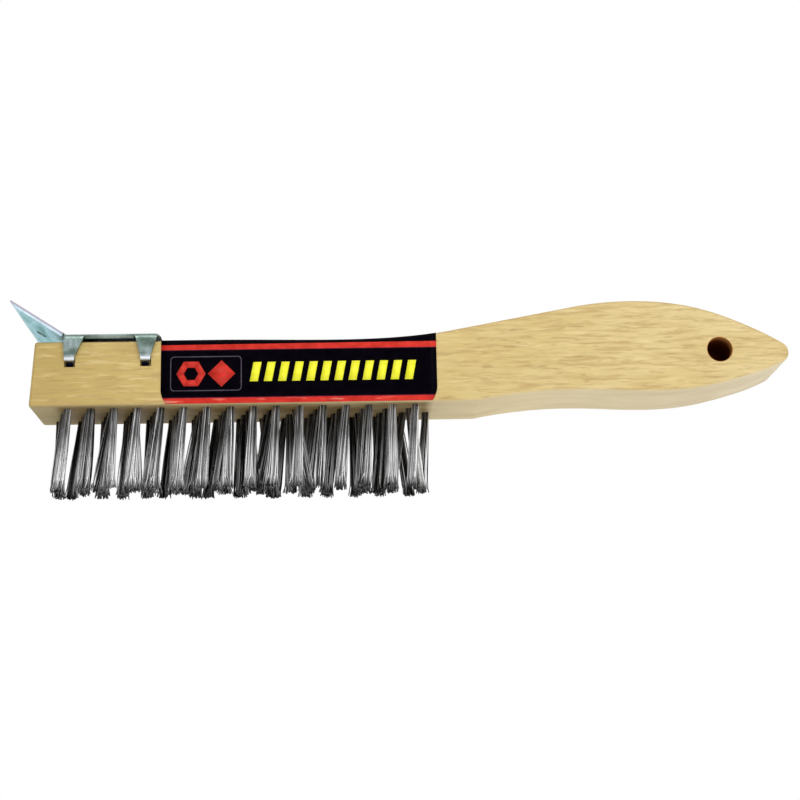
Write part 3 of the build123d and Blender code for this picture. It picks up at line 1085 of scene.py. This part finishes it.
def label_skin():
    """Vertices, faces and inks of the label's wrapped sheet."""
    cad_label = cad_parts["label"]
    rows = label_stations()
    vertices, faces, inks = [], [], []
    for side, height, turn, _ in rows:
        low, high = label_ends(NOSE_HEIGHT if height is None else height)
        for column in range(LABEL_COLUMNS + 1):
            share = column / LABEL_COLUMNS
            x = low + (high - low) * share
            if height is not None:
                z = SOLE_Z + height - band_droop(height, share)
                vertices.append(Vector((x, side * LABEL_OUT, z)))
                continue
            above = Vector((min(x, high - INK_LIFT), 0, 2 * block_high.z))
            _, hit, _, _ = cad_label.ray_cast(above, Vector((0, 0, -1)))
            y = LABEL_OUT - LABEL_EDGE_RADIUS * (1 - math.cos(turn))
            z = hit.z - LABEL_EDGE_RADIUS * (1 - math.sin(turn))
            vertices.append(Vector((x, side * y, z)))
    width = LABEL_COLUMNS + 1
    for row in range(len(rows) - 1):
        for column in range(LABEL_COLUMNS):
            here = row * width + column
            faces.append((here, here + 1, here + width + 1, here + width))
            inks.append(rows[row][3])
    return vertices, faces, inks


def ring_faces(outer, inner):
    """Quads between two closed outlines with the same number of points."""
    count = len(outer)
    return [
        [outer[step], outer[(step + 1) % count], inner[(step + 1) % count], inner[step]]
        for step in range(count)
    ]


def polygon(centre, radius, sides):
    """Corners of a regular polygon, anticlockwise."""
    return [
        (
            centre[0] + radius * math.cos(2 * math.pi * side / sides),
            centre[1] + radius * math.sin(2 * math.pi * side / sides),
        )
        for side in range(sides)
    ]


def rounded_box(box, inset):
    """Anticlockwise outline of the frame's rounded box, inset by a distance."""
    left, right, foot, top = box
    radius = FRAME_CORNER - inset
    centres = (
        (right - FRAME_CORNER, top - FRAME_CORNER),
        (left + FRAME_CORNER, top - FRAME_CORNER),
        (left + FRAME_CORNER, foot + FRAME_CORNER),
        (right - FRAME_CORNER, foot + FRAME_CORNER),
    )
    points = []
    for quarter, centre in enumerate(centres):
        for step in range(LABEL_BEND_STEPS + 1):
            turn = QUARTER_TURN * (quarter + step / LABEL_BEND_STEPS)
            points.append(
                (centre[0] + radius * math.cos(turn), centre[1] + radius * math.sin(turn))
            )
    return points


def slanted_bar(left, width):
    """A bar that leans towards the handle."""
    right = left + width
    return [
        (left, BAR_BOTTOM),
        (right, BAR_BOTTOM),
        (right + BAR_SLANT, BAR_TOP),
        (left + BAR_SLANT, BAR_TOP),
    ]


def label_marks():
    """Generic printed marks as ink and outline pairs, in station and height: a frame round a
    nut and a diamond, and a row of slanted bars."""
    outer = rounded_box(FRAME_BOX, 0.0)
    inner = rounded_box(FRAME_BOX, FRAME_LINE)
    marks = [("grey", quad) for quad in ring_faces(outer, inner)]
    nut = polygon(NUT_CENTRE, NUT_RADIUS, NUT_SIDES)
    bore = polygon(NUT_CENTRE, NUT_BORE, NUT_SIDES)
    marks += [("red", quad) for quad in ring_faces(nut, bore)]
    marks.append(("red", polygon(DIAMOND_CENTRE, DIAMOND_HALF, 4)))
    pitch = (BARS_END - BARS_START) / BAR_COUNT
    for number in range(BAR_COUNT):
        left = BARS_START + number * pitch
        marks.append(("yellow", slanted_bar(left, pitch * BAR_FILL)))
    return marks


def build_label():
    """The printed label: wrapped sheet with marks on both faces."""
    inks = label_inks()
    names = list(inks)
    vertices, faces, face_inks = label_skin()
    for ink, outline in label_marks():
        for side in (-1, 1):
            first = len(vertices)
            for station, height in outline:
                y = side * (LABEL_OUT + INK_LIFT)
                vertices.append(Vector((NOSE_X + station, y, SOLE_Z + height)))
            ring = tuple(range(first, len(vertices)))
            faces.append(ring if side < 0 else ring[::-1])
            face_inks.append(ink)
    slots = [names.index(ink) for ink in face_inks]
    thing = mesh_object("label_wrap", vertices, faces, list(inks.values()), slots)
    depth = thing.modifiers.new("sheet_depth", "SOLIDIFY")
    depth.thickness = LABEL_THICKNESS
    depth.offset = -1
    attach(thing, BODY)
    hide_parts("label")


# ---- stage

FLOOR_HALF = 40.0
FLOOR_Z = -0.8

# Studio surround: bright all round but for a dark band in front, by height and by side
STUDIO_WHITE = (1.0, 1.0, 1.0, 1.0)
STUDIO_DARK = (0.12, 0.122, 0.125, 1.0)
DARK_BAND = ((0.28, STUDIO_WHITE), (0.42, STUDIO_DARK), (0.66, STUDIO_DARK), (0.76, STUDIO_WHITE))
RIGHT_BIAS = 0.6
BAND_FADE_START, BAND_FADE_END = -0.25, 0.10

# Lamps: name, place in metres, power in watts and width in metres
LAMPS = (
    ("key", (-0.2, -0.9, 0.9), 5.35, 0.7),
    ("fill", (0.7, -0.9, 0.45), 3.0, 0.6),
    ("under", (0.25, -0.8, -0.6), 3.5, 0.8),
)

CAMERA_PLACE = (NOSE_X + 109.6 * MM, -563.7 * MM, SOLE_Z - 134.6 * MM)
CAMERA_YAW = math.radians(1.65)
CAMERA_PITCH = math.radians(13.81)
CAMERA_ROLL = math.radians(-1.216)
CAMERA_SENSOR = 36.0
CAMERA_LENS = 74.6


def build_stage(material):
    """A pale floor far below the brush, out of the camera's low view."""
    corners = ((-1, -1), (1, -1), (1, 1), (-1, 1))
    vertices = [(FLOOR_HALF * x, FLOOR_HALF * y, FLOOR_Z) for x, y in corners]
    floor = mesh_object("stage_floor_plane", vertices, [(0, 1, 2, 3)], [material])


def build_world():
    """White studio surround with a darker band in front and to the left of the camera."""
    world = bpy.data.worlds.new("studio")
    bpy.context.scene.world = world
    world.use_nodes = True
    tree = world.node_tree
    tree.nodes.clear()
    output = tree.nodes.new("ShaderNodeOutputWorld")
    background = tree.nodes.new("ShaderNodeBackground")
    height = remap(tree, coordinate_part(tree, "Generated", "Z"), -1.0, 1.0, 0.0, 1.0)
    front = ramp(tree, height, DARK_BAND)
    sideways = coordinate_part(tree, "Generated", "X")
    rightward = calculate(tree, "MULTIPLY", sideways, RIGHT_BIAS)
    aside = calculate(tree, "ADD", coordinate_part(tree, "Generated", "Y"), rightward)
    beyond = remap(tree, aside, BAND_FADE_START, BAND_FADE_END, 0.0, 1.0)
    colour = mix_colour(tree, beyond, front, STUDIO_WHITE)
    tree.links.new(colour, background.inputs["Color"])
    background.inputs["Strength"].default_value = 1.0
    tree.links.new(background.outputs["Background"], output.inputs["Surface"])


def build_lamps():
    """Soft lamps, all aimed at the middle of the sole."""
    for name, place, power, width in LAMPS:
        lamp = bpy.data.lights.new(name, "AREA")
        lamp.energy = power
        lamp.size = width
        thing = bpy.data.objects.new(name, lamp)
        thing.location = place
        aim = Vector((0, 0, SOLE_Z)) - Vector(place)
        thing.rotation_euler = aim.to_track_quat("-Z", "Y").to_euler()
        bpy.context.scene.collection.objects.link(thing)


def build_camera():
    """Long lens from just in front, below and looking a little up, rolled about a degree."""
    forward = Vector(
        (
            math.sin(CAMERA_YAW) * math.cos(CAMERA_PITCH),
            math.cos(CAMERA_YAW) * math.cos(CAMERA_PITCH),
            math.sin(CAMERA_PITCH),
        )
    )
    level = Vector((math.cos(CAMERA_YAW), -math.sin(CAMERA_YAW), 0))
    upright = level.cross(forward)
    right = level * math.cos(CAMERA_ROLL) + upright * math.sin(CAMERA_ROLL)
    up = upright * math.cos(CAMERA_ROLL) - level * math.sin(CAMERA_ROLL)
    turn = Matrix((right, up, -forward)).transposed()
    data = bpy.data.cameras.new("camera")
    data.sensor_width = CAMERA_SENSOR
    data.lens = CAMERA_LENS
    camera = bpy.data.objects.new("camera", data)
    camera.matrix_world = Matrix.Translation(Vector(CAMERA_PLACE)) @ turn.to_4x4()
    bpy.context.scene.collection.objects.link(camera)
    bpy.context.scene.camera = camera


# ---- whole scene


def dress(node, material):
    """Give a CAD node its one material."""
    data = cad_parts[node].data
    data.materials.clear()
    data.materials.append(material)


wire = wire_material()
anchor = anchor_material()
dress("handle_block", wood_material())
build_label()
for number in range(COLUMNS):
    dress(f"anchor_column_{number + 1:02d}", anchor)
    build_column(number, wire)
build_scraper(zinc_material(), blade_material(), cut_edge_material())
build_stage(stage_material())
build_world()
build_lamps()
build_camera()
bpy.context.scene.view_settings.view_transform = "Standard"
